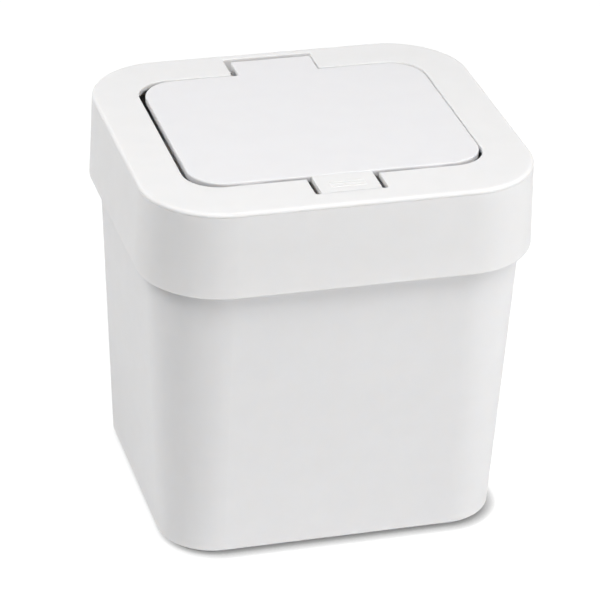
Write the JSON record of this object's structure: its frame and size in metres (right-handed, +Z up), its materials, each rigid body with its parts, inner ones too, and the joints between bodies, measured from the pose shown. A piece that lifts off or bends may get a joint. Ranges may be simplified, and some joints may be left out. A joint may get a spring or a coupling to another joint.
{
  "type": "countertop trash can",
  "caption": "Square-shouldered countertop trash can with a lift-off skirted lid and a push-to-open flap hinged at the rear.",
  "frame": {"origin": "on the surface the can stands on, under the middle of the can", "axes": "+Z up, -Y to the front where the push tongue is, +Y to the hinge, X across the width"},
  "size_m": [0.2028, 0.1828, 0.2003],
  "materials": {
    "bucket_plastic": "white polypropylene, fine satin texture",
    "lid_plastic": "white polypropylene, fine satin texture",
    "flap_plastic": "cool white polypropylene, fine satin texture",
    "pin_steel": "drawn spring steel wire"
  },
  "bodies": {
    "bucket": {"bucket": "bucket_plastic"},
    "lid": {"lid_frame": "lid_plastic", "hinge_pin": "pin_steel", "pop_up_spring": "pin_steel"},
    "flap": {"flap": "flap_plastic"},
    "tongue": {"push_tongue": "lid_plastic"}
  },
  "joints": [
    {"name": "lid_lift", "type": "slide", "parent": "bucket", "child": "lid", "axis": [0, 0, 1], "range_m": [0, 0.06]},
    {"name": "flap_hinge", "type": "hinge", "parent": "lid", "child": "flap", "pos_m": [0, 0.0774, 0.1952], "axis": [-1, 0, 0], "range_deg": [0, 90]},
    {"name": "tongue_press", "type": "hinge", "parent": "lid", "child": "tongue", "pos_m": [0, -0.0774, 0.197], "axis": [-1, 0, 0], "range_deg": [0, 7], "stiffness_Nm_per_rad": 0.05, "springref_deg": -6.88}
  ]
}
